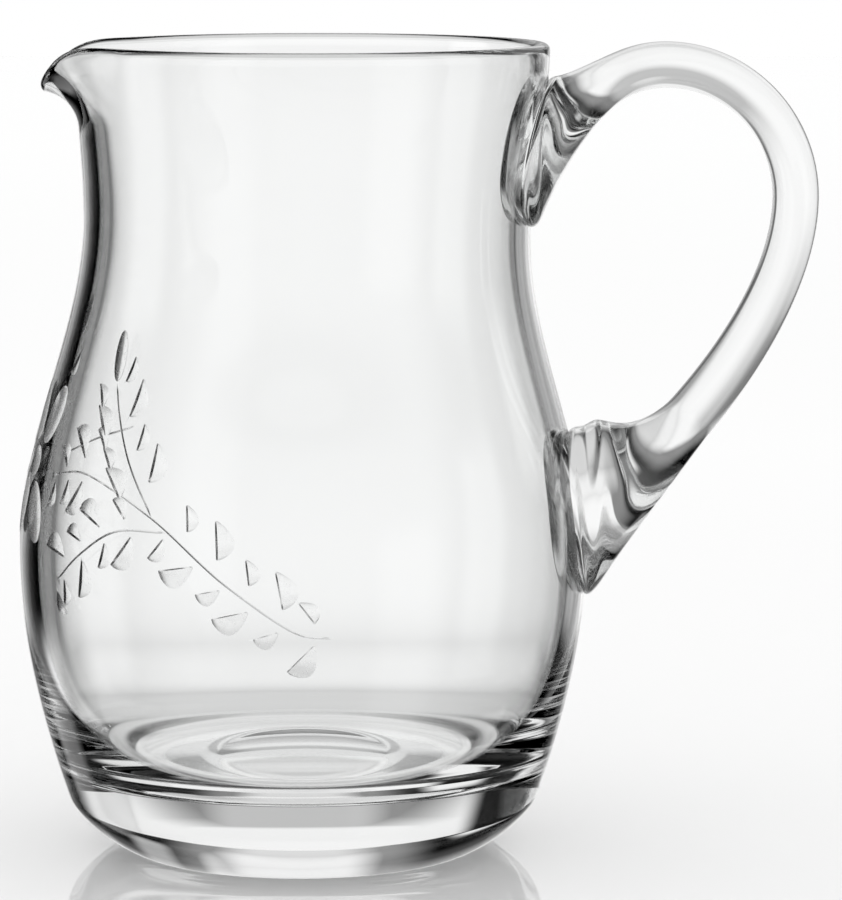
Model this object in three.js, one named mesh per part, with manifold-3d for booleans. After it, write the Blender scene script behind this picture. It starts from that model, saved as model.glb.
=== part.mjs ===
// Engraved glass jug in millimetres, +Z up. It stands on Z = 0 with its axis on the Z axis, the pouring
// lip towards -X and the handle towards +X. Two pieces of glass: a blown body with a heavy base, and a
// handle drawn from a second gather and pressed on hot at an upper and a lower seat.
import * as THREE from "three";
import { mergeVertices } from "three/addons/utils/BufferGeometryUtils.js";
import Module from "manifold-3d";

// Outside of the body: radii and the heights where they are reached
const RIM_HEIGHT = 190;
const RIM_RADIUS = 55.7;
const NECK_HEIGHT = 147;
const NECK_RADIUS = 52.5;
const BELLY_HEIGHT = 71;
const BELLY_RADIUS = 67.1;
const HEEL_HEIGHT = 12.5;
const HEEL_RADIUS = 56;
const HEEL_SPLAY = 0.34; // outward run of the wall per millimetre of height, just above the heel
const FOOT_RADIUS = 41.5; // outer edge of the flat ring that the jug stands on
const PUNTY_RADIUS = 20.5; // ground and polished hollow under the base
const PUNTY_DEPTH = 2;
const MOUTH_OFFSET = 2.5; // hand-made lean: the neck and mouth sit this far towards the handle

// Glass thickness
const RIM_WALL = 3.4;
const NECK_WALL = 3.8;
const BELLY_WALL = 4.4;
const FLOOR_THICKNESS = 24.5;
const FLOOR_RADIUS = 41; // flat part of the inner floor

// Pouring lip: the top of the wall bends outwards along an arc
const LIP_DEPTH = 21; // height of wall that bends, below the rim
const LIP_LENGTH = 17.5;
const LIP_BEND = 88; // degrees, at the middle of the lip
const LIP_SPREAD = 38; // degrees to each side of the middle

// Handle: centre line of the strap
const UPPER_SEAT_DROP = 25; // middle of the upper seat, below the rim
const LOWER_SEAT_RISE = 8.4; // middle of the lower seat, above the belly's widest line
const ARCH_RISE = 0.4; // top of the arch, above the rim
const ARCH_REACH = 29.5; // top of the arch, out from the wall at the upper seat
const HANDLE_REACH = 65.8; // back of the strap, out from the wall at the upper seat
const GRIP_DROP = 36; // furthest point of the strap, below the rim

// Handle: section of the strap and of its two seats
const STRAP_THICK = 10.7;
const STRAP_WIDTH = 20;
const STRAP_ROUNDNESS = 2.4; // 2 is an ellipse, larger is squarer
const ROOT_THICK = 12; // strap where it starts to flare into the lower seat
const UPPER_SEAT_HEIGHT = 35;
const UPPER_SEAT_WIDTH = 41;
const UPPER_FLARE = 28; // length over which the strap widens into the seat
const UPPER_FLARE_POWER = 2.2; // larger keeps the widening closer to the wall
const LOWER_SEAT_HEIGHT = 40.6;
const LOWER_SEAT_WIDTH = 41;
const LOWER_PAD = 3.4; // full-sized pressed pad, before the flare starts
const LOWER_FLARE = 31;
const LOWER_FLARE_POWER = 1.9;
const SEAT_ROUND = 1.8; // rounding of the pressed glass where it meets the wall
const SEAT_GAP = 0.3;
const SEAT_RUN_IN = 10; // length of the loft inside the wall, cut away at the seats

// Resolution
const BODY_SEGMENTS = 72;
const STRAP_SIDES = 28;
const STRAP_STEPS = 50;
const STRAP_CROWDING = 0.62; // 0 spaces the sections evenly, towards 1 crowds them at the two seats

const wasm = await Module();
wasm.setup();

const clamp01 = (t) => Math.min(1, Math.max(0, t));
const ease = (t) => t * t * (3 - 2 * t);
const mix = (a, b, t) => a + (b - a) * t;

// Cubic from (z0, r0) to (z1, r1) with slopes s0 and s1, read at height z
function hermite(z, z0, r0, s0, z1, r1, s1) {
  const span = z1 - z0;
  const t = (z - z0) / span;
  const t2 = t * t;
  const t3 = t2 * t;
  const start = (2 * t3 - 3 * t2 + 1) * r0 + (t3 - 2 * t2 + t) * span * s0;
  return start + (3 * t2 - 2 * t3) * r1 + (t3 - t2) * span * s1;
}

// Outer radius of the wall above the heel
function outerRadius(z) {
  if (z < BELLY_HEIGHT) {
    return hermite(z, HEEL_HEIGHT, HEEL_RADIUS, HEEL_SPLAY, BELLY_HEIGHT, BELLY_RADIUS, 0);
  }
  if (z < NECK_HEIGHT) {
    return hermite(z, BELLY_HEIGHT, BELLY_RADIUS, 0, NECK_HEIGHT, NECK_RADIUS, 0);
  }
  return hermite(Math.min(z, RIM_HEIGHT), NECK_HEIGHT, NECK_RADIUS, 0, RIM_HEIGHT, RIM_RADIUS, 0);
}

function wallThickness(z) {
  if (z < NECK_HEIGHT) {
    const t = clamp01((z - BELLY_HEIGHT) / (NECK_HEIGHT - BELLY_HEIGHT));
    return mix(BELLY_WALL, NECK_WALL, ease(t));
  }
  return mix(NECK_WALL, RIM_WALL, ease(clamp01((z - NECK_HEIGHT) / (RIM_HEIGHT - NECK_HEIGHT))));
}

function addCurve(points, curve, steps) {
  for (let i = 1; i <= steps; i += 1) {
    points.push(curve.getPoint(i / steps));
  }
}

// Underside and heel: from the middle of the punty, over the flat ring, to the start of the wall
function addUnderside(points) {
  const puntyTop = new THREE.Vector2(0, PUNTY_DEPTH);
  const puntyPull = new THREE.Vector2(PUNTY_RADIUS * 0.5, PUNTY_DEPTH);
  points.push(puntyTop);
  addCurve(points, new THREE.QuadraticBezierCurve(puntyTop, puntyPull, new THREE.Vector2(PUNTY_RADIUS, 0)), 4);
  const foot = new THREE.Vector2(FOOT_RADIUS, 0);
  const heel = new THREE.Vector2(HEEL_RADIUS, HEEL_HEIGHT);
  const below = new THREE.Vector2(HEEL_RADIUS - HEEL_SPLAY * HEEL_HEIGHT * 0.4, HEEL_HEIGHT * 0.6);
  const beside = new THREE.Vector2(mix(FOOT_RADIUS, HEEL_RADIUS, 0.28), HEEL_HEIGHT * 0.1);
  points.push(foot);
  addCurve(points, new THREE.CubicBezierCurve(foot, beside, below, heel), 6);
}

function addWall(points, from, to, steps, radius) {
  for (let i = 1; i <= steps; i += 1) {
    const z = mix(from, to, i / steps);
    points.push(new THREE.Vector2(radius(z), z));
  }
}

// Closed half section of the body, from the axis under the base to the axis on the inner floor
function bodyProfile() {
  const points = [];
  const innerRadius = (z) => outerRadius(z) - wallThickness(z);
  const beadRadius = RIM_WALL / 2;
  const beadHeight = RIM_HEIGHT - beadRadius;
  addUnderside(points);
  addWall(points, HEEL_HEIGHT, BELLY_HEIGHT, 8, outerRadius);
  addWall(points, BELLY_HEIGHT, NECK_HEIGHT, 8, outerRadius);
  addWall(points, NECK_HEIGHT, beadHeight, 8, outerRadius);
  const beadMiddle = outerRadius(beadHeight) - beadRadius;
  for (let i = 1; i <= 5; i += 1) {
    const turn = (Math.PI * i) / 6;
    const r = beadMiddle + beadRadius * Math.cos(turn);
    points.push(new THREE.Vector2(r, beadHeight + beadRadius * Math.sin(turn)));
  }
  points.push(new THREE.Vector2(innerRadius(beadHeight), beadHeight));
  addWall(points, beadHeight, NECK_HEIGHT, 7, innerRadius);
  addWall(points, NECK_HEIGHT, BELLY_HEIGHT, 6, innerRadius);
  const side = new THREE.Vector2(innerRadius(BELLY_HEIGHT), BELLY_HEIGHT);
  const drop = (BELLY_HEIGHT - FLOOR_THICKNESS) * 0.53;
  const sidePull = new THREE.Vector2(side.x, BELLY_HEIGHT - drop);
  const floorEdge = new THREE.Vector2(FLOOR_RADIUS, FLOOR_THICKNESS);
  const floorPull = new THREE.Vector2(mix(FLOOR_RADIUS, side.x, 0.42), FLOOR_THICKNESS);
  addCurve(points, new THREE.CubicBezierCurve(side, sidePull, floorPull, floorEdge), 9);
  points.push(new THREE.Vector2(0, FLOOR_THICKNESS));
  return points;
}

// Sideways shift of the wall's axis at height z
function leanAt(z) {
  return MOUTH_OFFSET * ease(clamp01((z - BELLY_HEIGHT) / (RIM_HEIGHT - BELLY_HEIGHT))) ** 2;
}

function leaned(geometry) {
  const position = geometry.getAttribute("position");
  for (let i = 0; i < position.count; i += 1) {
    position.setX(i, position.getX(i) + leanAt(position.getZ(i)));
  }
  return geometry;
}

// Lathe about +Z
function turned(points, segments) {
  const geometry = new THREE.LatheGeometry(points, segments);
  geometry.rotateX(Math.PI / 2);
  return geometry;
}

// Bends the upper wall outwards on the -X side into a pouring lip
function pullLip(geometry) {
  const position = geometry.getAttribute("position");
  const lipStart = RIM_HEIGHT - LIP_DEPTH;
  const spread = THREE.MathUtils.degToRad(LIP_SPREAD);
  const bend = THREE.MathUtils.degToRad(LIP_BEND);
  const arc = LIP_LENGTH / bend;
  const middle = (z) => outerRadius(z) - wallThickness(z) / 2;
  for (let i = 0; i < position.count; i += 1) {
    const x = position.getX(i);
    const y = position.getY(i);
    const z = position.getZ(i);
    const away = Math.abs(Math.atan2(y, -x)) / spread;
    if (z > lipStart && away < 1) {
      const weight = 0.5 + 0.5 * Math.cos(Math.PI * away);
      const turn = (bend * (z - lipStart)) / LIP_DEPTH;
      const r = Math.hypot(x, y);
      const off = r - middle(z);
      const bentRadius = middle(lipStart) + arc * (1 - Math.cos(turn)) + off * Math.cos(turn);
      const bentHeight = lipStart + arc * Math.sin(turn) - off * Math.sin(turn);
      const scale = mix(r, bentRadius, weight) / r;
      position.setXYZ(i, x * scale, y * scale, mix(z, bentHeight, weight ** 3));
    }
  }
}

function solidOf(geometry) {
  const bare = geometry.clone();
  bare.deleteAttribute("normal");
  bare.deleteAttribute("uv");
  const merged = mergeVertices(bare, 1e-4);
  const index = merged.getIndex().array;
  const corners = [];
  for (let i = 0; i < index.length; i += 3) {
    const [a, b, c] = [index[i], index[i + 1], index[i + 2]];
    if (a !== b && b !== c && c !== a) {
      corners.push(a, b, c);
    }
  }
  const vertProperties = new Float32Array(merged.getAttribute("position").array);
  const triVerts = new Uint32Array(corners);
  return new wasm.Manifold(new wasm.Mesh({ numProp: 3, vertProperties, triVerts }));
}

function geometryOf(solid) {
  const mesh = solid.getMesh();
  const geometry = new THREE.BufferGeometry();
  const positions = new Float32Array(mesh.numVert * 3);
  for (let i = 0; i < mesh.numVert; i += 1) {
    for (let k = 0; k < 3; k += 1) {
      positions[3 * i + k] = mesh.vertProperties[mesh.numProp * i + k];
    }
  }
  geometry.setAttribute("position", new THREE.BufferAttribute(positions, 3));
  geometry.setIndex(new THREE.BufferAttribute(new Uint32Array(mesh.triVerts), 1));
  geometry.computeVertexNormals();
  return geometry;
}

// Centre line of the strap in the XZ plane, from inside the wall at the upper seat, over the arch and down
// the grip to inside the wall at the lower seat
function strapLine() {
  const upperZ = RIM_HEIGHT - UPPER_SEAT_DROP;
  const lowerZ = BELLY_HEIGHT + LOWER_SEAT_RISE;
  const upperX = outerRadius(upperZ) + leanAt(upperZ);
  const lowerX = outerRadius(lowerZ) + leanAt(lowerZ);
  const archX = upperX + ARCH_REACH;
  const archZ = RIM_HEIGHT + ARCH_RISE - STRAP_THICK / 2;
  const gripX = upperX + HANDLE_REACH - STRAP_THICK / 2;
  const gripZ = RIM_HEIGHT - GRIP_DROP;
  const at = (x, z) => new THREE.Vector3(x, 0, z);
  const path = new THREE.CurvePath();
  const start = at(upperX - SEAT_RUN_IN * 0.8, upperZ - SEAT_RUN_IN * 0.6);
  const upper = at(upperX, upperZ);
  const arch = at(archX, archZ);
  const grip = at(gripX, gripZ);
  const lower = at(lowerX, lowerZ);
  const end = at(lowerX - SEAT_RUN_IN * 0.9, lowerZ - SEAT_RUN_IN * 0.2);
  const climb = archZ - upperZ;
  const fall = gripZ - lowerZ;
  path.add(new THREE.LineCurve3(start, upper));
  const off = at(upperX + ARCH_REACH * 0.31, upperZ + climb * 0.6);
  path.add(new THREE.CubicBezierCurve3(upper, off, at(mix(upperX, archX, 0.62), archZ), arch));
  const over = at(mix(archX, gripX, 0.56), archZ);
  path.add(new THREE.CubicBezierCurve3(arch, over, at(gripX, mix(gripZ, archZ, 0.54)), grip));
  const down = at(gripX, gripZ - fall * 0.375);
  const into = at(mix(lowerX, gripX, 0.385), lowerZ + fall * 0.16);
  path.add(new THREE.CubicBezierCurve3(grip, down, into, lower));
  path.add(new THREE.LineCurve3(lower, end));
  return path;
}

// How far the surface of the pressed glass is drawn in, close to the wall, at a point of the strap
function rounding(x, y, z) {
  const off = Math.hypot(x - leanAt(z), y) - outerRadius(z);
  const near = clamp01(1 - Math.max(0, off) / SEAT_ROUND);
  return SEAT_ROUND * (1 - Math.sqrt(1 - near * near));
}

// Strap lofted along its centre line. Its oval sections stand square to the line on the grip, and turn upright
// and flare where the hot glass was pressed against the wall.
function strapGeometry() {
  const path = strapLine();
  const length = path.getLength();
  const lead = path.curves[0].getLength();
  const tail = path.curves[4].getLength();
  const positions = [];
  const corners = [];
  for (let i = 0; i <= STRAP_STEPS; i += 1) {
    const t = i / STRAP_STEPS;
    const u = t - (STRAP_CROWDING * Math.sin(2 * Math.PI * t)) / (2 * Math.PI);
    const here = path.getPointAt(u);
    const tangent = path.getTangentAt(u);
    const upper = clamp01(1 - Math.max(0, u * length - lead) / UPPER_FLARE);
    const lower = clamp01(1 - Math.max(0, (1 - u) * length - tail - LOWER_PAD) / LOWER_FLARE);
    const square = new THREE.Vector3(-tangent.z, 0, tangent.x);
    const upright = new THREE.Vector3(0, 0, upper > 0 ? 1 : -1);
    const across = square.lerp(upright, upper > 0 ? ease(upper) ** 0.4 : ease(lower) ** 0.6).normalize();
    const run = mix(STRAP_THICK, ROOT_THICK, ease(clamp01((u - 0.55) / 0.3)));
    const upperShare = upper ** UPPER_FLARE_POWER;
    const lowerShare = lower ** LOWER_FLARE_POWER;
    const thick = run + (UPPER_SEAT_HEIGHT - run) * upperShare + (LOWER_SEAT_HEIGHT - run) * lowerShare;
    const upperWidth = (UPPER_SEAT_WIDTH - STRAP_WIDTH) * upperShare;
    const width = STRAP_WIDTH + upperWidth + (LOWER_SEAT_WIDTH - STRAP_WIDTH) * lowerShare;
    for (let k = 0; k < STRAP_SIDES; k += 1) {
      const angle = (2 * Math.PI * k) / STRAP_SIDES;
      const c = Math.cos(angle);
      const s = Math.sin(angle);
      const a = (Math.sign(c) * Math.abs(c) ** (2 / STRAP_ROUNDNESS) * thick) / 2;
      const b = (Math.sign(s) * Math.abs(s) ** (2 / STRAP_ROUNDNESS) * width) / 2;
      const pulled = 1 - rounding(here.x + across.x * a, b, here.z + across.z * a) / Math.hypot(a, b);
      positions.push(here.x + across.x * a * pulled, b * pulled, here.z + across.z * a * pulled);
    }
  }
  for (let i = 0; i < STRAP_STEPS; i += 1) {
    for (let k = 0; k < STRAP_SIDES; k += 1) {
      const a = i * STRAP_SIDES + k;
      const b = i * STRAP_SIDES + ((k + 1) % STRAP_SIDES);
      corners.push(a, a + STRAP_SIDES, b, b, a + STRAP_SIDES, b + STRAP_SIDES);
    }
  }
  const last = STRAP_STEPS * STRAP_SIDES;
  for (let k = 1; k < STRAP_SIDES - 1; k += 1) {
    corners.push(0, k, k + 1);
    corners.push(last, last + k + 1, last + k);
  }
  const geometry = new THREE.BufferGeometry();
  geometry.setAttribute("position", new THREE.Float32BufferAttribute(positions, 3));
  geometry.setIndex(corners);
  return geometry;
}

// Filled form of the body's outside, grown by the gap that the seats keep
function seatForm() {
  const points = [new THREE.Vector2(0, HEEL_HEIGHT)];
  addWall(points, HEEL_HEIGHT, BELLY_HEIGHT, 8, (z) => outerRadius(z) + SEAT_GAP);
  addWall(points, BELLY_HEIGHT, NECK_HEIGHT, 8, (z) => outerRadius(z) + SEAT_GAP);
  addWall(points, NECK_HEIGHT, RIM_HEIGHT + UPPER_SEAT_HEIGHT, 14, (z) => outerRadius(z) + SEAT_GAP);
  points.push(new THREE.Vector2(0, RIM_HEIGHT + UPPER_SEAT_HEIGHT));
  return solidOf(leaned(turned(points, BODY_SEGMENTS)));
}

const bodyShape = turned(bodyProfile(), BODY_SEGMENTS);
pullLip(bodyShape);
const bodyGlass = new THREE.MeshStandardMaterial({ color: 0xe8eeed, roughness: 0.04, metalness: 0 });
const body = new THREE.Mesh(geometryOf(solidOf(leaned(bodyShape))), bodyGlass);
body.name = "body";

const handleGlass = new THREE.MeshStandardMaterial({ color: 0xebf0ef, roughness: 0.04, metalness: 0 });
const handle = new THREE.Mesh(geometryOf(solidOf(strapGeometry()).subtract(seatForm())), handleGlass);
handle.name = "handle";

const jug = new THREE.Group();
jug.name = "jug";
jug.add(body, handle);

export default jug;
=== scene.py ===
"""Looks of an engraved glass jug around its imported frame.

Shapes are worked out in millimetres, +Z up, lip towards -X and handle towards +X, and are written to
Blender in metres. Angles round the body are counted from the lip towards the front, which is -Y.
"""

import math

import bpy
import numpy as np
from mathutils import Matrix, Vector
from mathutils.geometry import delaunay_2d_cdt


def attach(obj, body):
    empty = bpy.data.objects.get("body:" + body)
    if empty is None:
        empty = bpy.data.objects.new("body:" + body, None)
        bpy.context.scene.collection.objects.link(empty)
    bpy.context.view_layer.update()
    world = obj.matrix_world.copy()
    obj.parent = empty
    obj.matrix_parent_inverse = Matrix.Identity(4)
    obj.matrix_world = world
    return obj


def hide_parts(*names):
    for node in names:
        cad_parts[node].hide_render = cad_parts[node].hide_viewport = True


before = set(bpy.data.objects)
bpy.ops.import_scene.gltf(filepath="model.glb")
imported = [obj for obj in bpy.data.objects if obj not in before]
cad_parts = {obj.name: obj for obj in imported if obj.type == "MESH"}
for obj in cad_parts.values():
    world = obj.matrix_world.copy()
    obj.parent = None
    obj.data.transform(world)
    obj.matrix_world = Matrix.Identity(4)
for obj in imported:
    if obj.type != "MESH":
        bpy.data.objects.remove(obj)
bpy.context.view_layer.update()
MM = 0.001

# Outside of the body
RIM_HEIGHT = 190
RIM_RADIUS = 55.7
NECK_HEIGHT = 147
NECK_RADIUS = 52.5
BELLY_HEIGHT = 71
BELLY_RADIUS = 67.1
HEEL_HEIGHT = 12.5
HEEL_RADIUS = 56
HEEL_SPLAY = 0.34
HEEL_BELOW = 0.6  # height share of the point that carries the wall's direction into the heel
HEEL_BESIDE = (0.28, 0.1)  # radius and height shares of the point that rounds the heel
FOOT_RADIUS = 41.5
PUNTY_RADIUS = 20.5
PUNTY_DEPTH = 2
MOUTH_OFFSET = 2.5

# Glass thickness
RIM_WALL = 3.4
NECK_WALL = 3.8
BELLY_WALL = 4.4
FLOOR_THICKNESS = 24.5
FLOOR_RADIUS = 43
FLOOR_DOME = 4.5  # the inner floor is a little higher in the middle
COVE_HEIGHT = 42
COVE_FULLNESS = 0.56  # how far the cove reaches from the floor's edge towards the wall

# Pouring lip
LIP_DEPTH = 21
LIP_LENGTH = 17.5
LIP_BEND = math.radians(88)
LIP_SPREAD = math.radians(38)

# Handle
UPPER_SEAT_DROP = 25
LOWER_SEAT_RISE = 8.4
ARCH_RISE = 0.3
ARCH_REACH = 29.5
HANDLE_REACH = 65.6
GRIP_DROP = 36
STRAP_THICK = 10.7
STRAP_WIDTH = 20
STRAP_ROUNDNESS = 2.4
ROOT_THICK = 12
UPPER_SEAT_HEIGHT = 35
UPPER_SEAT_WIDTH = 41
UPPER_FLARE = 28
UPPER_FLARE_POWER = 2.2
LOWER_SEAT_HEIGHT = 40.6
LOWER_SEAT_WIDTH = 41
LOWER_PAD = 3.4
LOWER_FLARE = 31
LOWER_FLARE_POWER = 1.9
SEAT_ROUND = 1.8
SEAT_RUN_IN = 10
UPPER_RUN = (0.8, 0.6)  # direction of the strap's line inside the upper seat, out and up
LOWER_RUN = (0.9, 0.2)  # the same inside the lower seat, inwards and down
ARCH_SPRING = (0.31, 0.6)  # shares of reach and climb that shape the line as it leaves the upper seat
ARCH_ENTRY = 0.62
ARCH_SHOULDER = 0.56
GRIP_SHOULDER = 0.54
GRIP_FALL = 0.375
LOWER_ENTRY = (0.385, 0.16)  # shares of reach and fall that shape the line above the lower seat
ROOT_START = 0.55  # shares of the line between which the strap thickens towards its lower root
ROOT_SPAN = 0.3
UPPER_TURN = 0.4  # powers that turn the section upright towards each seat
LOWER_TURN = 0.6
SEAT_SINK = 0.06  # the seats lie this far inside the wall, so that the joint shows no film of air
PAD_BLEND = 1.6  # softens the edge of the pressed pad

# Mesh
COLUMNS = 192
BAND_LOW = 46  # the engraved band of the wall
BAND_HIGH = 146
BAND_ROWS = 50
STRAP_SIDES = 72
STRAP_STEPS = 170
STRAP_CROWDING = 0.62
CAP_RINGS = 10
LINE_STEPS = 1000
RUN_IN_STEPS = 200
CROSSING_STEPS = 3001
CUT_STATIONS = 14
STEM_STEP = 1.3
PUNTY_STEPS = 12
RING_STEPS = 6
HEEL_STEPS = 16
LOW_WALL_STEPS = 18
HIGH_WALL_STEPS = 30
BEAD_STEPS = 12
INNER_STEPS = 26
COVE_STEPS = 36
DOME_STEPS = 16
SAME_PLACE = 1e-4  # points closer than this count as one
SEAM_REACH = 1e-3
NO_AREA = 1e-7
NO_WIDTH = 1e-6
NORMAL_INSET = 0.06  # normals are read this share of the way into a triangle
SLOPE_STEP = 0.004
CUT_EDGE = 0.004  # a triangle this deep counts as cut

# Engraving: arc along the belly from the middle of the lip, and height
STEM_HALF_WIDTH = 0.25
STEM_CUT = 0.22
STEM_TAPER = 3
LONG_LEAF = 8.8
SHORT_LEAF = 6
LEAF_FULLNESS = 0.48  # width over length
LEAF_CUT = 0.6
LEAF_WALL = 0.32  # width of the steep side of a leaf cut
PETAL_CUT = 0.55
LEAF_SKEW = 1.3  # moves a leaf's widest place past its middle
LEAF_ROUNDNESS = 0.6
LEAF_LINES = (0.4, 0.75, 1)  # mesh lines across a leaf's scoop, as shares of its width
SCOOP_BULGE = 0.6
DEPTH_POWER = 0.5  # how fast a cut deepens from its ends
PETAL_LINES = (-1, -0.5, 0, 0.5, 1)
FLOWER_HEART = (18.5, 94)
FLOWER_HEART_LENGTH = 8
FLOWER_HEART_WIDTH = 7
FLOWER_GAP = 5.5  # from the middle of the heart to the foot of a petal
FLOWER_PETALS = 5
FLOWER_TURN = 60  # degrees between petals, and to the first one
PETAL_LENGTH = 15
PETAL_WIDTH = 9
CLEARANCE = 0.7  # plain mesh points keep this far from a cut's outline
CUT_MARGIN = 2

# Glass
GLASS_TINT = (0.988, 0.992, 0.99, 1)
GLASS_INDEX = 1.5
RIPPLE_SCALE = 38
RIPPLE_STRENGTH = 0.05
RIPPLE_HEIGHT = 0.0006
GRAIN_SCALE = 900
GRAIN_DETAIL = 3
GRAIN_RANGE = (0.25, 0.75)
GROUND_ROUGHNESS = (0.18, 0.3)

# Studio, as the glass shows and mirrors it: dark surroundings with a white backdrop behind the jug for each
# main direction, so that the glass is white with dark edges. Angles are degrees from +Y and up from level.
SURROUND_LEVEL = 0.0
BELOW_LEVEL = 0.85
BELOW_RANGE = (-72, -50)
ABOVE_LEVEL = 0.2
ABOVE_RANGE = (35, 60)
BACKDROPS = [
    # level, direction, half width and its softness, lowest angle, highest angle and their softness
    (1.0, 2, 17, 3, -17, 3, 8),
    (0.94, 0, 15, 6, -26, -8, 8),
    (0.72, 0, 15, 8, -60, -18, 8),
    (0.55, 0, 15, 6, -10, 16, 4),
    (0.25, 0, 24, 6, -60, 26, 5),
    (0.95, 0, 34, 4, 9, 27, 3),
    (0.5, 31, 5, 3, -14, 6, 3),
    (0.85, 42, 14, 6, 8, 42, 6),
    (0.95, -45, 10, 4, -42, -16, 4),
    (1.0, -90, 13, 5, -26, 14, 5),
    (0.88, 135, 18, 12, -50, 12, 10),
    (0.55, 180, 70, 20, -45, 25, 18),
]
TABLE_RADIUS = 4  # metres
TABLE_SIDES = 96
TABLE_DROP = 0.0002  # metres, just under the jug
TABLE_COLOUR = (0.97, 0.97, 0.97, 1)
TABLE_ROUGHNESS = 0.04

# Camera, in metres, with its lens and sensor in millimetres
CAMERA_PLACE = (0.027985, -1.04819, 0.236)
CAMERA_AIM = (0.027985, 0, 0.093974)
CAMERA_LENS = 178.904
CAMERA_SENSOR = 36
CAMERA_FAR = 50

# Light paths, long enough for four walls of glass and the handle
ALL_BOUNCES = 40
GLASS_BOUNCES = 36
MIRROR_BOUNCES = 20


def clamp01(t):
    return np.clip(t, 0.0, 1.0)


def ease(t):
    return t * t * (3 - 2 * t)


def mix(a, b, t):
    return a + (b - a) * t


def hermite(z, z0, r0, s0, z1, r1, s1):
    span = z1 - z0
    t = (z - z0) / span
    t2 = t * t
    t3 = t2 * t
    start = (2 * t3 - 3 * t2 + 1) * r0 + (t3 - 2 * t2 + t) * span * s0
    return start + (3 * t2 - 2 * t3) * r1 + (t3 - t2) * span * s1


def outer_radius(z):
    z = np.minimum(np.asarray(z, float), RIM_HEIGHT)
    low = hermite(z, HEEL_HEIGHT, HEEL_RADIUS, HEEL_SPLAY, BELLY_HEIGHT, BELLY_RADIUS, 0)
    middle = hermite(z, BELLY_HEIGHT, BELLY_RADIUS, 0, NECK_HEIGHT, NECK_RADIUS, 0)
    high = hermite(z, NECK_HEIGHT, NECK_RADIUS, 0, RIM_HEIGHT, RIM_RADIUS, 0)
    return np.where(z < BELLY_HEIGHT, low, np.where(z < NECK_HEIGHT, middle, high))


def wall_thickness(z):
    low = mix(BELLY_WALL, NECK_WALL, ease(clamp01((z - BELLY_HEIGHT) / (NECK_HEIGHT - BELLY_HEIGHT))))
    high = mix(NECK_WALL, RIM_WALL, ease(clamp01((z - NECK_HEIGHT) / (RIM_HEIGHT - NECK_HEIGHT))))
    return np.where(z < NECK_HEIGHT, low, high)


def lean_at(z):
    return MOUTH_OFFSET * ease(clamp01((z - BELLY_HEIGHT) / (RIM_HEIGHT - BELLY_HEIGHT))) ** 2


def bezier(points, steps):
    """Points of a quadratic or cubic curve, without its first one."""
    t = np.linspace(0, 1, steps + 1)[1:, None]
    p = [np.array(q, float) for q in points]
    if len(p) == 3:
        return (1 - t) ** 2 * p[0] + 2 * t * (1 - t) * p[1] + t**2 * p[2]
    return (1 - t) ** 3 * p[0] + 3 * t * (1 - t) ** 2 * p[1] + 3 * t**2 * (1 - t) * p[2] + t**3 * p[3]


def wall_run(start, end, steps, radius):
    z = np.linspace(start, end, steps + 1)[1:]
    return np.column_stack([radius(z), z])


def low_profile():
    """Radius and height from beside the middle of the punty to the foot of the engraved band."""
    punty = [(0, PUNTY_DEPTH), (PUNTY_RADIUS / 2, PUNTY_DEPTH), (PUNTY_RADIUS, 0)]
    below = (HEEL_RADIUS - HEEL_SPLAY * HEEL_HEIGHT * (1 - HEEL_BELOW), HEEL_HEIGHT * HEEL_BELOW)
    beside = (mix(FOOT_RADIUS, HEEL_RADIUS, HEEL_BESIDE[0]), HEEL_HEIGHT * HEEL_BESIDE[1])
    heel = [(FOOT_RADIUS, 0), beside, below, (HEEL_RADIUS, HEEL_HEIGHT)]
    ring_radius = np.linspace(PUNTY_RADIUS, FOOT_RADIUS, RING_STEPS + 1)[1:]
    ring = np.column_stack([ring_radius, np.zeros(RING_STEPS)])
    return np.vstack([
        bezier(punty, PUNTY_STEPS),
        ring,
        bezier(heel, HEEL_STEPS),
        wall_run(HEEL_HEIGHT, BAND_LOW, LOW_WALL_STEPS, outer_radius),
    ])


def high_profile():
    """Radius and height from the top of the engraved band, over the rim, to the inner floor."""
    bead = RIM_WALL / 2
    bead_height = RIM_HEIGHT - bead

    def inner(z):
        return outer_radius(z) - wall_thickness(z)

    turn = np.linspace(0, math.pi, BEAD_STEPS + 1)[1:-1]
    middle = outer_radius(bead_height) - bead
    over = np.column_stack([middle + bead * np.cos(turn), bead_height + bead * np.sin(turn)])
    side = (float(inner(BELLY_HEIGHT)), BELLY_HEIGHT)
    edge = FLOOR_THICKNESS - FLOOR_DOME
    corner = (mix(FLOOR_RADIUS, side[0], COVE_FULLNESS), edge)
    cove = [side, (side[0], COVE_HEIGHT), corner, (FLOOR_RADIUS, edge)]
    dome = [
        (FLOOR_RADIUS, edge),
        (FLOOR_RADIUS * 2 / 3, FLOOR_THICKNESS - FLOOR_DOME / 3),
        (FLOOR_RADIUS / 3, FLOOR_THICKNESS),
        (0, FLOOR_THICKNESS),
    ]
    return np.vstack([
        [(float(outer_radius(BAND_HIGH)), BAND_HIGH)],
        wall_run(BAND_HIGH, bead_height, HIGH_WALL_STEPS, outer_radius),
        over,
        [(float(inner(bead_height)), bead_height)],
        wall_run(bead_height, NECK_HEIGHT, INNER_STEPS, inner),
        wall_run(NECK_HEIGHT, BELLY_HEIGHT, INNER_STEPS, inner),
        bezier(cove, COVE_STEPS),
        bezier(dome, DOME_STEPS)[:-1],
    ])


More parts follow.
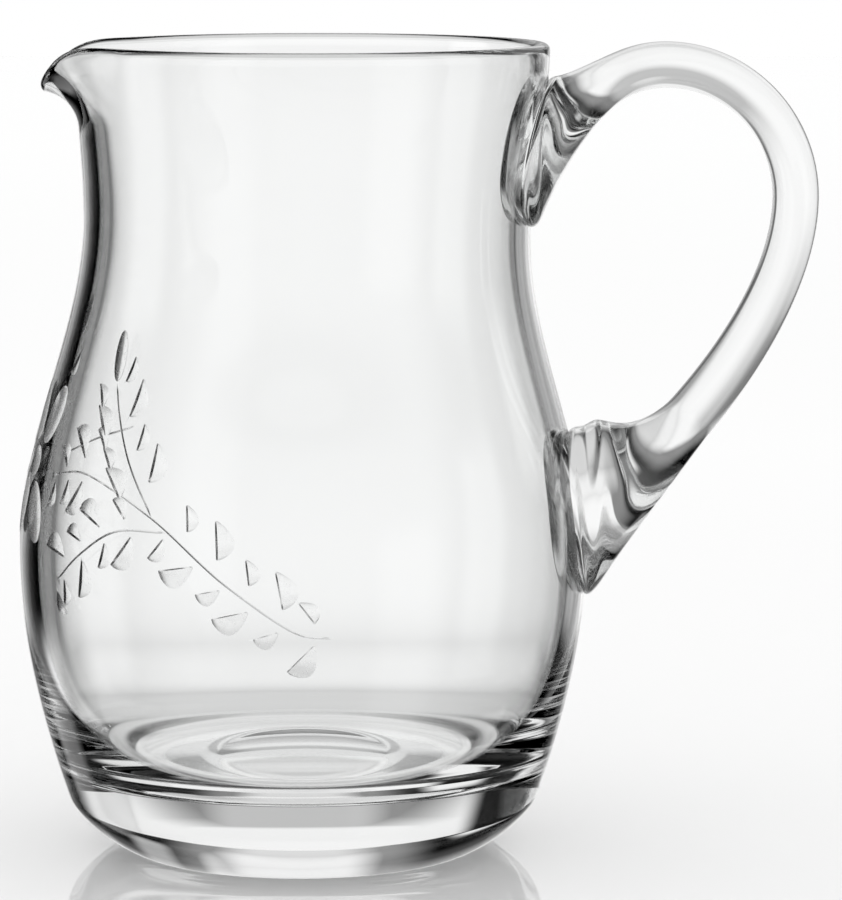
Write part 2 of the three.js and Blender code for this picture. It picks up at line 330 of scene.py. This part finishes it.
def placed(radius, height, angle):
    """Points of the body for arrays of radius, height and angle from the lip, with lip and lean."""
    r = np.array(radius, float)
    z = np.array(height, float)
    a = (np.array(angle, float) + math.pi) % (2 * math.pi) - math.pi
    start = RIM_HEIGHT - LIP_DEPTH
    away = clamp01(np.abs(a) / LIP_SPREAD)
    weight = np.where(z > start, 0.5 + 0.5 * np.cos(math.pi * away), 0)
    turn = LIP_BEND * np.maximum(z - start, 0) / LIP_DEPTH
    arc = LIP_LENGTH / LIP_BEND
    off = r - (outer_radius(z) - wall_thickness(z) / 2)
    hinge = outer_radius(start) - wall_thickness(start) / 2
    bent_radius = hinge + arc * (1 - np.cos(turn)) + off * np.cos(turn)
    bent_height = start + arc * np.sin(turn) - off * np.sin(turn)
    r = mix(r, bent_radius, weight)
    z = mix(z, bent_height, weight**3)
    return np.stack([lean_at(z) - r * np.cos(a), -r * np.sin(a), z], -1)


def smooth_line(points, step):
    """Even points on a Catmull-Rom curve through a few points."""
    p = np.array(points, float)
    p = np.vstack([2 * p[0] - p[1], p, 2 * p[-1] - p[-2]])
    t = np.linspace(0, 1, 40)[:-1, None]
    runs = []
    for a, b, c, d in zip(p[:-3], p[1:-2], p[2:-1], p[3:]):
        square = (2 * a - 5 * b + 4 * c - d) * t**2
        cube = (3 * b - a - 3 * c + d) * t**3
        runs.append(0.5 * (2 * b + (c - a) * t + square + cube))
    dense = np.vstack(runs + [p[-2:-1]])
    s = np.concatenate([[0], np.cumsum(np.linalg.norm(np.diff(dense, axis=0), axis=1))])
    even = np.linspace(0, s[-1], max(2, int(s[-1] / step)) + 1)
    return np.column_stack([np.interp(even, s, dense[:, k]) for k in (0, 1)]), s[-1]


class Stem:
    """Hairline groove of V section along a smooth line."""

    def __init__(self, points):
        self.line, self.length = smooth_line(points, STEM_STEP)
        self.low = self.line.min(0) - STEM_HALF_WIDTH
        self.high = self.line.max(0) + STEM_HALF_WIDTH

    def at(self, s):
        """Point and direction at a distance along the stem."""
        share = np.linspace(0, self.length, len(self.line))
        here = np.array([np.interp(s, share, self.line[:, k]) for k in (0, 1)])
        ahead = np.array([np.interp(s + 0.5, share, self.line[:, k]) for k in (0, 1)])
        behind = np.array([np.interp(s - 0.5, share, self.line[:, k]) for k in (0, 1)])
        run = ahead - behind
        return here, math.atan2(run[1], run[0])

    def outlines(self):
        run = np.gradient(self.line, axis=0)
        run /= np.linalg.norm(run, axis=1)[:, None]
        side = np.column_stack([-run[:, 1], run[:, 0]]) * STEM_HALF_WIDTH
        side[[0, -1]] = 0
        inner = slice(1, -1)
        left = np.vstack([self.line[:1], (self.line + side)[inner], self.line[-1:]])
        right = np.vstack([self.line[:1], (self.line - side)[inner], self.line[-1:]])
        return [left, self.line, right]

    def depth(self, p):
        best = np.full(len(p), 1e9)
        ends = np.zeros(len(p))
        step = self.length / (len(self.line) - 1)
        for i, (a, b) in enumerate(zip(self.line[:-1], self.line[1:])):
            run = b - a
            t = clamp01((p - a) @ run / (run @ run))
            away = np.linalg.norm(p - a - t[:, None] * run, axis=1)
            s = (i + t) * step
            ends = np.where(away < best, np.minimum(s, self.length - s), ends)
            best = np.minimum(best, away)
        return STEM_CUT * clamp01(1 - best / STEM_HALF_WIDTH) * clamp01(ends / STEM_TAPER)


class Leaf:
    """Half-moon cut: steep along a straight edge, scooped out to one side and widest past its middle."""

    def __init__(self, base, heading, length, side):
        self.base = np.array(base, float)
        self.along = np.array([math.cos(heading), math.sin(heading)])
        self.out = side * np.array([-math.sin(heading), math.cos(heading)])
        self.length = length
        self.width = length * LEAF_FULLNESS
        self.cut = LEAF_CUT * (length / LONG_LEAF) ** DEPTH_POWER
        corners = np.array([self.base, self.base + self.along * length])
        self.low = corners.min(0) - self.width
        self.high = corners.max(0) + self.width

    def swell(self, t):
        return np.sin(math.pi * clamp01(t) ** LEAF_SKEW)

    def reach(self, t):
        return self.width * self.swell(t) ** LEAF_ROUNDNESS + NO_WIDTH

    def spot(self, t, v):
        return self.base + np.outer(t * self.length, self.along) + v[:, None] * self.out

    def outlines(self):
        t = 0.5 - 0.5 * np.cos(np.linspace(0, math.pi, CUT_STATIONS + 1))
        bow = np.ones_like(t)
        bow[[0, -1]] = 0
        reach = self.reach(t) * bow
        lines = [self.spot(t, -LEAF_WALL * bow), self.spot(t, 0 * t)]
        return lines + [self.spot(t, reach * share) for share in LEAF_LINES]

    def depth(self, p):
        q = p - self.base
        t = q @ self.along / self.length
        v = q @ self.out
        reach = self.reach(t)
        scoop = clamp01(1 - np.maximum(v, 0) / reach) * (1 + SCOOP_BULGE * clamp01(v / reach))
        steep = clamp01(1 + v / LEAF_WALL)
        inside = (t > 0) & (t < 1)
        return np.where(inside, self.cut * self.swell(t) ** DEPTH_POWER * np.where(v > 0, scoop, steep), 0)


class Petal:
    """Olive cut: a shallow oval trough."""

    def __init__(self, base, heading, length, width):
        self.base = np.array(base, float)
        self.along = np.array([math.cos(heading), math.sin(heading)])
        self.out = np.array([-math.sin(heading), math.cos(heading)])
        self.length = length
        self.width = width
        corners = np.array([self.base, self.base + self.along * length])
        self.low = corners.min(0) - width
        self.high = corners.max(0) + width

    def reach(self, t):
        return 0.5 * self.width * np.sqrt(np.maximum(1 - (2 * clamp01(t) - 1) ** 2, 0)) + NO_WIDTH

    def outlines(self):
        t = 0.5 - 0.5 * np.cos(np.linspace(0, math.pi, CUT_STATIONS + 1))
        bow = np.ones_like(t)
        bow[[0, -1]] = 0
        lines = []
        for share in PETAL_LINES:
            v = self.reach(t) * bow * share
            lines.append(self.base + np.outer(t * self.length, self.along) + v[:, None] * self.out)
        return lines

    def depth(self, p):
        q = p - self.base
        t = q @ self.along / self.length
        v = q @ self.out
        inside = (t > 0) & (t < 1)
        trough = clamp01(1 - (v / self.reach(t)) ** 2)
        return np.where(inside, PETAL_CUT * trough * np.sin(math.pi * clamp01(t)) ** DEPTH_POWER, 0)


def leaves_on(stem, first, pitch, sizes, side, gap, lean, scoop, inward=False):
    """Leaves along one side of a stem, whose straight edges lean away from its direction.

    Their round ends point outwards, or inwards to the stem.
    """
    found = []
    for i, length in enumerate(sizes):
        here, heading = stem.at(first + i * pitch)
        foot = here + gap * side * np.array([-math.sin(heading), math.cos(heading)])
        turned = heading + side * math.radians(lean)
        if inward:
            foot = foot + length * np.array([math.cos(turned), math.sin(turned)])
            turned += math.pi
        found.append(Leaf(foot, turned, length, scoop))
    return found


def engraving():
    """Flower beside the lip with a leafy spray round the front of the belly.

    Points are arc along the belly and height. The leaves' first two numbers are the first one's distance
    along its stem and the distance between them.
    """
    long = LONG_LEAF
    short = SHORT_LEAF
    main = Stem([(33, 92.5), (49, 94), (71, 86), (90, 72), (105, 62), (114, 60.4)])
    rising = Stem([(71, 86.1), (62, 98), (56, 108), (52.7, 114.8)])
    twig = Stem([(37.5, 97.8), (50, 102.4), (62.3, 106)])
    falling = Stem([(75, 83.3), (61, 82.5), (50, 76.5), (40.4, 69)])
    cuts = [main, rising, twig, falling]
    five = [short, long, short, long, short]
    cuts += leaves_on(main, 48.5, 9.4, five, side=1, gap=3.3, lean=133, scoop=1, inward=True)
    cuts += leaves_on(main, 54.5, 8, [long, short, long, short, long], side=-1, gap=1.8, lean=131, scoop=1)
    cuts += leaves_on(main, 2, 6.3, [short, short, long], side=-1, gap=1.8, lean=119, scoop=1)
    cuts += leaves_on(falling, 11.5, 7, five, side=-1, gap=2.5, lean=50, scoop=-1)
    cuts += leaves_on(falling, 0.8, 8.8, five, side=1, gap=1.5, lean=48, scoop=1)
    cuts += leaves_on(rising, 7.5, 8.6, [long, short] * 2, side=-1, gap=3.2, lean=44, scoop=1, inward=True)
    cuts += leaves_on(rising, 9, 7.2, [long, short] * 2, side=1, gap=5.8, lean=5, scoop=1, inward=True)
    cuts += leaves_on(twig, 1, 7.5, [short, long, short], side=-1, gap=3.4, lean=-115, scoop=-1)
    cuts.append(Petal((52.6, 115.2), math.radians(96), 11.5, 4.6))
    cuts.append(Petal((28.7, 123.9), math.radians(74), 10, 3.2))
    cuts.append(Leaf((31.7, 120), math.radians(-131), short, 1))
    heart = np.array(FLOWER_HEART)
    for i in range(FLOWER_PETALS):
        heading = math.radians(FLOWER_TURN * (i + 1))
        foot = heart + FLOWER_GAP * np.array([math.cos(heading), math.sin(heading)])
        cuts.append(Petal(foot, heading, PETAL_LENGTH, PETAL_WIDTH))
    cuts.append(Petal(heart - (FLOWER_HEART_LENGTH / 2, 0), 0, FLOWER_HEART_LENGTH, FLOWER_HEART_WIDTH))
    return cuts


def cut_depth(cuts, p):
    depth = np.zeros(len(p))
    for cut in cuts:
        near = np.all((p > cut.low) & (p < cut.high), axis=1)
        if near.any():
            depth[near] = np.maximum(depth[near], cut.depth(p[near]))
    return depth


def segment_distance(p, a, b):
    run = b - a
    t = clamp01((p - a) @ run / (run @ run))
    return np.linalg.norm(p - a - t[:, None] * run, axis=1)


def band_triangles(cuts):
    """Flat points and triangles of the engraved band, with every cut's outline as edges."""
    half = math.pi * BELLY_RADIUS
    arc = np.linspace(-half, half, COLUMNS + 1)
    height = np.linspace(BAND_LOW, BAND_HIGH, BAND_ROWS + 1)
    lattice = np.stack(np.meshgrid(arc, height, indexing="ij"), -1).reshape(-1, 2)
    keep = np.ones(len(lattice), bool)
    points = []
    edges = []
    for cut in cuts:
        close = (lattice > cut.low - CUT_MARGIN) & (lattice < cut.high + CUT_MARGIN)
        near = np.where(np.all(close, axis=1))[0]
        for line in cut.outlines():
            for a, b in zip(line[:-1], line[1:]):
                keep[near] &= segment_distance(lattice[near], a, b) > CLEARANCE
            first = len(points)
            points += [Vector(q) for q in line]
            edges += [(first + i, first + i + 1) for i in range(len(line) - 1)]
    points += [Vector(q) for q in lattice[keep]]
    flat, _, faces, _, _, _ = delaunay_2d_cdt(points, edges, [], 0, SAME_PLACE)
    flat = np.array([tuple(v) for v in flat])
    corners = np.array(faces)
    a, b, c = (flat[corners[:, k]] for k in range(3))
    area = np.cross(b - a, c - a)
    corners = np.where((area > 0)[:, None], corners, corners[:, ::-1])
    return flat, corners[np.abs(area) > NO_AREA]


def band_frame(flat):
    """Base point, outward normal and the two unit directions of the wall at flat band points."""
    angle = flat[:, 0] / BELLY_RADIUS
    z = flat[:, 1]
    tiny = 1e-3
    here = placed(outer_radius(z), z, angle)
    round_ = placed(outer_radius(z), z, angle + tiny) - placed(outer_radius(z), z, angle - tiny)
    up = placed(outer_radius(z + tiny), z + tiny, angle) - placed(outer_radius(z - tiny), z - tiny, angle)
    round_ /= np.linalg.norm(round_, axis=1)[:, None]
    up /= np.linalg.norm(up, axis=1)[:, None]
    normal = np.cross(round_, up)
    return here, normal / np.linalg.norm(normal, axis=1)[:, None], round_, up


def band_normals(cuts, flat, corners):
    """Normals and share of cut surface at the triangles' corners, read just inside each triangle."""
    middle = flat[corners].mean(axis=1)
    spots = (flat[corners] * (1 - NORMAL_INSET) + middle[:, None, :] * NORMAL_INSET).reshape(-1, 2)
    _, normal, round_, up = band_frame(flat[corners].reshape(-1, 2))
    across = np.array([SLOPE_STEP, 0])
    upward = np.array([0, SLOPE_STEP])
    slope_round = (cut_depth(cuts, spots + across) - cut_depth(cuts, spots - across)) / (2 * SLOPE_STEP)
    slope_up = (cut_depth(cuts, spots + upward) - cut_depth(cuts, spots - upward)) / (2 * SLOPE_STEP)
    normal = normal + slope_round[:, None] * round_ + slope_up[:, None] * up
    cut = (cut_depth(cuts, np.repeat(middle, 3, axis=0)) > CUT_EDGE).astype(np.float32)
    return normal / np.linalg.norm(normal, axis=1)[:, None], cut


def ring_grid(profile):
    """Points of a lathed stretch, row by row, on the columns of the engraved band."""
    angle = np.linspace(-math.pi, math.pi, COLUMNS + 1)[:-1]
    return placed(profile[:, :1], profile[:, 1:], angle[None, :]).reshape(-1, 3)


def grid_quads(first, rows):
    """Quads between the rows of a lathed stretch that starts at vertex first."""
    i = np.arange(COLUMNS)
    j = (i + 1) % COLUMNS
    quads = []
    for row in range(rows - 1):
        a = first + row * COLUMNS
        quads.append(np.column_stack([a + i, a + j, a + COLUMNS + j, a + COLUMNS + i]))
    return np.vstack(quads)


def body_mesh():
    cuts = engraving()
    flat, corners = band_triangles(cuts)
    low = low_profile()
    high = high_profile()
    low_points = ring_grid(low)
    high_points = ring_grid(high)
    high_first = len(low_points)
    band_first = high_first + len(high_points)

    # The band's lowest and highest rows are rows of the lathed stretches, and its two ends meet
    half = math.pi * BELLY_RADIUS
    column = np.rint((flat[:, 0] + half) / (2 * half) * COLUMNS).astype(int) % COLUMNS
    here, normal, _, _ = band_frame(flat)
    depth = cut_depth(cuts, flat)
    index = band_first + np.arange(len(flat))
    on_low = np.abs(flat[:, 1] - BAND_LOW) < SAME_PLACE
    on_high = np.abs(flat[:, 1] - BAND_HIGH) < SAME_PLACE
    index[on_low] = (len(low) - 1) * COLUMNS + column[on_low]
    index[on_high] = high_first + column[on_high]
    row = np.rint(flat[:, 1] * 1000).astype(int)
    seam = {}
    for k in np.where(flat[:, 0] < -half + SEAM_REACH)[0]:
        seam[row[k]] = index[k]
    for k in np.where(flat[:, 0] > half - SEAM_REACH)[0]:
        index[k] = seam[row[k]]

    points = np.vstack([low_points, high_points, here - depth[:, None] * normal, np.zeros((2, 3))])
    under = len(points) - 2
    points[under] = (0, 0, PUNTY_DEPTH)
    points[under + 1] = (0, 0, FLOOR_THICKNESS)
    i = np.arange(COLUMNS)
    j = (i + 1) % COLUMNS
    last = high_first + (len(high) - 1) * COLUMNS
    fans = [np.column_stack([np.full(COLUMNS, under), j, i])]
    fans.append(np.column_stack([last + i, last + j, np.full(COLUMNS, under + 1)]))
    quads = np.vstack([grid_quads(0, len(low)), grid_quads(high_first, len(high))])
    band = index[corners]

    used = np.unique(np.concatenate([quads.ravel(), band.ravel(), fans[0].ravel(), fans[1].ravel()]))
    renumber = np.full(len(points), -1)
    renumber[used] = np.arange(len(used))
    faces = [renumber[f].tolist() for f in (quads, fans[0], fans[1], band)]
    mesh = bpy.data.meshes.new("jug_body")
    mesh.from_pydata((points[used] * MM).tolist(), [], [f for group in faces for f in group])
    mesh.update()

    band_normal, cut = band_normals(cuts, flat, corners)
    plain = quads.size + fans[0].size + fans[1].size
    normals = np.vstack([np.zeros((plain, 3)), band_normal])
    mesh.polygons.foreach_set("use_smooth", np.ones(len(mesh.polygons), bool))
    mesh.normals_split_custom_set(normals.tolist())
    attribute = mesh.attributes.new("cut", "FLOAT", "CORNER")
    attribute.data.foreach_set("value", np.concatenate([np.zeros(plain, np.float32), cut]))
    return mesh


def strap_line():
    """Centre line of the strap as dense points in the XZ plane, and the lengths of its two end runs."""
    upper_z = RIM_HEIGHT - UPPER_SEAT_DROP
    lower_z = BELLY_HEIGHT + LOWER_SEAT_RISE
    upper_x = float(outer_radius(upper_z) + lean_at(upper_z))
    lower_x = float(outer_radius(lower_z) + lean_at(lower_z))
    arch_x = upper_x + ARCH_REACH
    arch_z = RIM_HEIGHT + ARCH_RISE - STRAP_THICK / 2
    grip_x = upper_x + HANDLE_REACH - STRAP_THICK / 2
    grip_z = RIM_HEIGHT - GRIP_DROP
    climb = arch_z - upper_z
    fall = grip_z - lower_z
    start = (upper_x - SEAT_RUN_IN * UPPER_RUN[0], upper_z - SEAT_RUN_IN * UPPER_RUN[1])
    upper = (upper_x, upper_z)
    arch = (arch_x, arch_z)
    grip = (grip_x, grip_z)
    lower = (lower_x, lower_z)
    end = (lower_x - SEAT_RUN_IN * LOWER_RUN[0], lower_z - SEAT_RUN_IN * LOWER_RUN[1])
    off = (upper_x + ARCH_REACH * ARCH_SPRING[0], upper_z + climb * ARCH_SPRING[1])
    over = (mix(arch_x, grip_x, ARCH_SHOULDER), arch_z)
    down = (grip_x, grip_z - fall * GRIP_FALL)
    into = (mix(lower_x, grip_x, LOWER_ENTRY[0]), lower_z + fall * LOWER_ENTRY[1])
    runs = [
        np.linspace(start, upper, RUN_IN_STEPS),
        bezier([upper, off, (mix(upper_x, arch_x, ARCH_ENTRY), arch_z), arch], LINE_STEPS),
        bezier([arch, over, (grip_x, mix(grip_z, arch_z, GRIP_SHOULDER)), grip], LINE_STEPS),
        bezier([grip, down, into, lower], LINE_STEPS),
        np.linspace(lower, end, RUN_IN_STEPS)[1:],
    ]
    return np.vstack(runs), math.dist(start, upper), math.dist(lower, end)


def off_wall(p):
    """Distance of points from the body's outer wall, outwards."""
    return np.hypot(p[..., 0] - lean_at(p[..., 2]), p[..., 1]) - outer_radius(p[..., 2])


def soft_over(x):
    """About max(0, x), with a rounded corner."""
    return 0.5 * (x + np.sqrt(x * x + PAD_BLEND**2))


def strap_points(s, angle, line, lead, tail):
    """Points of the strap's surface at distances along its line and angles round its section."""
    steps = np.linalg.norm(np.diff(line, axis=0), axis=1)
    along = np.concatenate([[0], np.cumsum(steps)])
    length = along[-1]
    direction = np.gradient(line, axis=0)
    direction /= np.linalg.norm(direction, axis=1)[:, None]
    here = np.stack([np.interp(s, along, line[:, k]) for k in (0, 1)], -1)
    tangent = np.stack([np.interp(s, along, direction[:, k]) for k in (0, 1)], -1)
    tangent /= np.linalg.norm(tangent, axis=-1)[..., None]
    upper = clamp01(1 - soft_over(s - lead) / UPPER_FLARE)
    lower = clamp01(1 - soft_over(length - s - tail - LOWER_PAD) / LOWER_FLARE)
    square = np.stack([-tangent[..., 1], tangent[..., 0]], -1)
    upright = np.stack([np.zeros_like(s), np.where(upper > 0, 1.0, -1.0)], -1)
    turn = np.where(upper > 0, ease(upper) ** UPPER_TURN, ease(lower) ** LOWER_TURN)[..., None]
    across = mix(square, upright, turn)
    across /= np.linalg.norm(across, axis=-1)[..., None]
    run = mix(STRAP_THICK, ROOT_THICK, ease(clamp01((s / length - ROOT_START) / ROOT_SPAN)))
    upper_share = upper**UPPER_FLARE_POWER
    lower_share = lower**LOWER_FLARE_POWER
    thick = run + (UPPER_SEAT_HEIGHT - run) * upper_share + (LOWER_SEAT_HEIGHT - run) * lower_share
    width = STRAP_WIDTH + (UPPER_SEAT_WIDTH - STRAP_WIDTH) * upper_share
    width = width + (LOWER_SEAT_WIDTH - STRAP_WIDTH) * lower_share
    c = np.cos(angle)
    d = np.sin(angle)
    a = np.sign(c) * np.abs(c) ** (2 / STRAP_ROUNDNESS) * thick / 2
    b = np.sign(d) * np.abs(d) ** (2 / STRAP_ROUNDNESS) * width / 2

    def spot(share):
        x = here[..., 0] + across[..., 0] * a * share
        z = here[..., 1] + across[..., 1] * a * share
        return np.stack([x, b * share, z], -1)

    near = clamp01(1 - np.maximum(off_wall(spot(1.0)), 0) / SEAT_ROUND)
    drawn_in = SEAT_ROUND * (1 - np.sqrt(1 - near * near))
    return spot(1 - drawn_in / np.hypot(a, b))


def seat_crossings(line, lead, tail, angle):
    """Distances along the line where each long line of the strap leaves and meets the wall."""
    length = np.linalg.norm(np.diff(line, axis=0), axis=1).sum()
    s = np.linspace(0, length, CROSSING_STEPS)
    places = np.repeat(s[:, None], len(angle), 1)
    grid = strap_points(places, np.repeat(angle[None], len(s), 0), line, lead, tail)
    outside = off_wall(grid) > -SEAT_SINK
    first = np.argmax(outside, axis=0)
    last = len(s) - 1 - np.argmax(outside[::-1], axis=0)
    return s[first], s[last]


def handle_mesh():
    line, lead, tail = strap_line()
    angle = np.linspace(0, 2 * math.pi, STRAP_SIDES + 1)[:-1]
    start, end = seat_crossings(line, lead, tail, angle)
    t = np.linspace(0, 1, STRAP_STEPS + 1)
    crowded = t - STRAP_CROWDING * np.sin(2 * math.pi * t) / (2 * math.pi)
    s = mix(start[None], end[None], crowded[:, None])
    grid = strap_points(s, np.repeat(angle[None], len(t), 0), line, lead, tail)
    points = [grid.reshape(-1, 3)]
    faces = []
    i = np.arange(STRAP_SIDES)
    j = (i + 1) % STRAP_SIDES
    for row in range(STRAP_STEPS):
        a = row * STRAP_SIDES
        faces += np.column_stack([a + i, a + STRAP_SIDES + i, a + STRAP_SIDES + j, a + j]).tolist()
    count = grid.shape[0] * STRAP_SIDES
    sharp = []
    for loop, first, flip in ((grid[0], 0, False), (grid[-1], STRAP_STEPS * STRAP_SIDES, True)):
        turn = np.arctan2(loop[:, 1], loop[:, 0] - lean_at(loop[:, 2]))
        centre = np.array([turn.mean(), loop[:, 2].mean()])
        edge = np.column_stack([turn, loop[:, 2]])
        inner = first
        sharp += [(first + a, first + b) for a, b in zip(i, j)]
        for ring in range(1, CAP_RINGS + 1):
            share = ring / CAP_RINGS
            spots = mix(edge, centre, share) if ring < CAP_RINGS else centre[None]
            r = outer_radius(spots[:, 1]) - SEAT_SINK
            x = lean_at(spots[:, 1]) + r * np.cos(spots[:, 0])
            points.append(np.column_stack([x, r * np.sin(spots[:, 0]), spots[:, 1]]))
            if ring < CAP_RINGS:
                quads = np.column_stack([inner + i, inner + j, count + j, count + i])
            else:
                quads = np.column_stack([inner + i, inner + j, np.full(STRAP_SIDES, count)])
            faces += (quads[:, ::-1] if flip else quads).tolist()
            inner = count
            count += len(spots)
    mesh = bpy.data.meshes.new("jug_handle")
    mesh.from_pydata((np.vstack(points) * MM).tolist(), [], faces)
    mesh.update()
    mesh.polygons.foreach_set("use_smooth", np.ones(len(mesh.polygons), bool))
    marked = {tuple(sorted(e)) for e in sharp}
    for edge in mesh.edges:
        edge.use_edge_sharp = tuple(sorted(edge.vertices)) in marked
    return mesh


def add_node(tree, kind, **sockets):
    node = tree.nodes.new(kind)
    for name, value in sockets.items():
        node.inputs[name].default_value = value
    return node


def math_node(tree, operation, a, b=None):
    node = tree.nodes.new("ShaderNodeMath")
    node.operation = operation
    for socket, value in zip(node.inputs, (a, b)):
        if value is None:
            continue
        if isinstance(value, (int, float)):
            socket.default_value = value
        else:
            tree.links.new(value, socket)
    return node.outputs[0]


def smooth_range(tree, value, start, end, low=0.0, high=1.0):
    node = tree.nodes.new("ShaderNodeMapRange")
    node.interpolation_type = "SMOOTHSTEP"
    tree.links.new(value, node.inputs["Value"])
    for name, number in (("From Min", start), ("From Max", end), ("To Min", low), ("To Max", high)):
        node.inputs[name].default_value = number
    return node.outputs[0]


def glass(name, engraved):
    """Clear fire-polished glass with faint ripples, and ground cuts where it is engraved."""
    material = bpy.data.materials.new(name)
    material.use_nodes = True
    tree = material.node_tree
    shader = tree.nodes["Principled BSDF"]
    shader.inputs["Base Color"].default_value = GLASS_TINT
    shader.inputs["Transmission Weight"].default_value = 1
    shader.inputs["IOR"].default_value = GLASS_INDEX
    place = tree.nodes.new("ShaderNodeTexCoord").outputs["Object"]

    ripple = add_node(tree, "ShaderNodeTexNoise", Scale=RIPPLE_SCALE, Detail=1)
    tree.links.new(place, ripple.inputs["Vector"])
    bump = add_node(tree, "ShaderNodeBump", Strength=RIPPLE_STRENGTH, Distance=RIPPLE_HEIGHT)
    tree.links.new(ripple.outputs[0], bump.inputs["Height"])
    tree.links.new(bump.outputs[0], shader.inputs["Normal"])

    if engraved:
        cut = tree.nodes.new("ShaderNodeAttribute")
        cut.attribute_name = "cut"
        grain = add_node(tree, "ShaderNodeTexNoise", Scale=GRAIN_SCALE, Detail=GRAIN_DETAIL)
        tree.links.new(place, grain.inputs["Vector"])
        ground = smooth_range(tree, grain.outputs[0], *GRAIN_RANGE, *GROUND_ROUGHNESS)
        roughness = math_node(tree, "MULTIPLY", cut.outputs["Fac"], ground)
        tree.links.new(roughness, shader.inputs["Roughness"])
    else:
        shader.inputs["Roughness"].default_value = 0
    return material


def make_piece(mesh, node, material):
    piece = bpy.data.objects.new(mesh.name, mesh)
    bpy.context.scene.collection.objects.link(piece)
    mesh.materials.append(material)
    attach(piece, "root")
    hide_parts(node)
    return piece


def panel_light(tree, x, y, height, level, towards, half_width, side_soft, low, high, end_soft):
    """Light of a soft-edged white panel, in a direction round the jug and between two heights."""
    turn = math.radians(towards)

    def times(a, b):
        return math_node(tree, "MULTIPLY", a, b)

    def edge(value, place, soft, start, end):
        return smooth_range(tree, value, math.radians(place - soft), math.radians(place + soft), start, end)

    ahead = math_node(tree, "ADD", times(x, math.sin(turn)), times(y, math.cos(turn)))
    across = math_node(tree, "SUBTRACT", times(x, math.cos(turn)), times(y, math.sin(turn)))
    away = math_node(tree, "ABSOLUTE", math_node(tree, "ARCTAN2", across, ahead))
    inside = edge(away, half_width, side_soft, 1.0, 0.0)
    upright = times(edge(height, low, end_soft, 0.0, 1.0), edge(height, high, end_soft, 1.0, 0.0))
    return times(times(inside, upright), level)


def make_world():
    """White for the camera and the floor, and the studio's panels for what the glass shows or mirrors."""
    world = bpy.data.worlds.new("studio")
    bpy.context.scene.world = world
    world.use_nodes = True
    tree = world.node_tree
    direction = tree.nodes.new("ShaderNodeSeparateXYZ")
    tree.links.new(tree.nodes.new("ShaderNodeTexCoord").outputs["Generated"], direction.inputs[0])
    x, y, z = direction.outputs
    height = math_node(tree, "ARCSINE", z)
    below = smooth_range(tree, height, *map(math.radians, BELOW_RANGE), BELOW_LEVEL, SURROUND_LEVEL)
    above = smooth_range(tree, height, *map(math.radians, ABOVE_RANGE), 0.0, ABOVE_LEVEL)
    level = math_node(tree, "MAXIMUM", below, above)
    for panel in BACKDROPS:
        level = math_node(tree, "MAXIMUM", level, panel_light(tree, x, y, height, *panel))
    path = tree.nodes.new("ShaderNodeLightPath")
    mirrored = math_node(tree, "MULTIPLY", path.outputs["Is Glossy Ray"], path.outputs["Is Singular Ray"])
    in_glass = math_node(tree, "MAXIMUM", mirrored, path.outputs["Is Transmission Ray"])
    lit_floor = math_node(tree, "MINIMUM", path.outputs["Diffuse Depth"], 1.0)
    through = math_node(tree, "MULTIPLY", in_glass, math_node(tree, "SUBTRACT", 1.0, lit_floor))
    mixed = tree.nodes.new("ShaderNodeMix")
    tree.links.new(through, mixed.inputs[0])
    mixed.inputs[2].default_value = 1
    tree.links.new(level, mixed.inputs[3])
    tree.links.new(mixed.outputs[0], tree.nodes["Background"].inputs["Color"])


def make_floor():
    """Pale glossy floor, which the glass neither shows nor mirrors."""
    bpy.ops.mesh.primitive_circle_add(vertices=TABLE_SIDES, radius=TABLE_RADIUS, fill_type="TRIFAN")
    bpy.context.object.location = (0, 0, -TABLE_DROP)
    floor = bpy.context.object
    floor.name = "floor"
    floor.visible_transmission = False
    floor.visible_glossy = False
    material = bpy.data.materials.new("pale_floor")
    material.use_nodes = True
    shader = material.node_tree.nodes["Principled BSDF"]
    shader.inputs["Base Color"].default_value = TABLE_COLOUR
    shader.inputs["Roughness"].default_value = TABLE_ROUGHNESS
    floor.data.materials.append(material)


def make_camera():
    """Camera at the photograph's place: the long side of the 842 by 900 frame sees 36 mm of sensor."""
    data = bpy.data.cameras.new("camera")
    data.lens = CAMERA_LENS
    data.sensor_width = CAMERA_SENSOR
    data.clip_end = CAMERA_FAR
    camera = bpy.data.objects.new("camera", data)
    bpy.context.scene.collection.objects.link(camera)
    camera.location = CAMERA_PLACE
    aim = Vector(CAMERA_AIM) - camera.location
    camera.rotation_euler = aim.to_track_quat("-Z", "Y").to_euler()
    bpy.context.scene.camera = camera


def set_rendering():
    scene = bpy.context.scene
    scene.view_settings.view_transform = "Standard"
    scene.cycles.max_bounces = ALL_BOUNCES
    scene.cycles.transmission_bounces = GLASS_BOUNCES
    scene.cycles.glossy_bounces = MIRROR_BOUNCES
    scene.cycles.use_denoising = True


make_camera()
make_world()
make_floor()
make_piece(body_mesh(), "body", glass("engraved_glass", True))
make_piece(handle_mesh(), "handle", glass("plain_glass", False))
set_rendering()
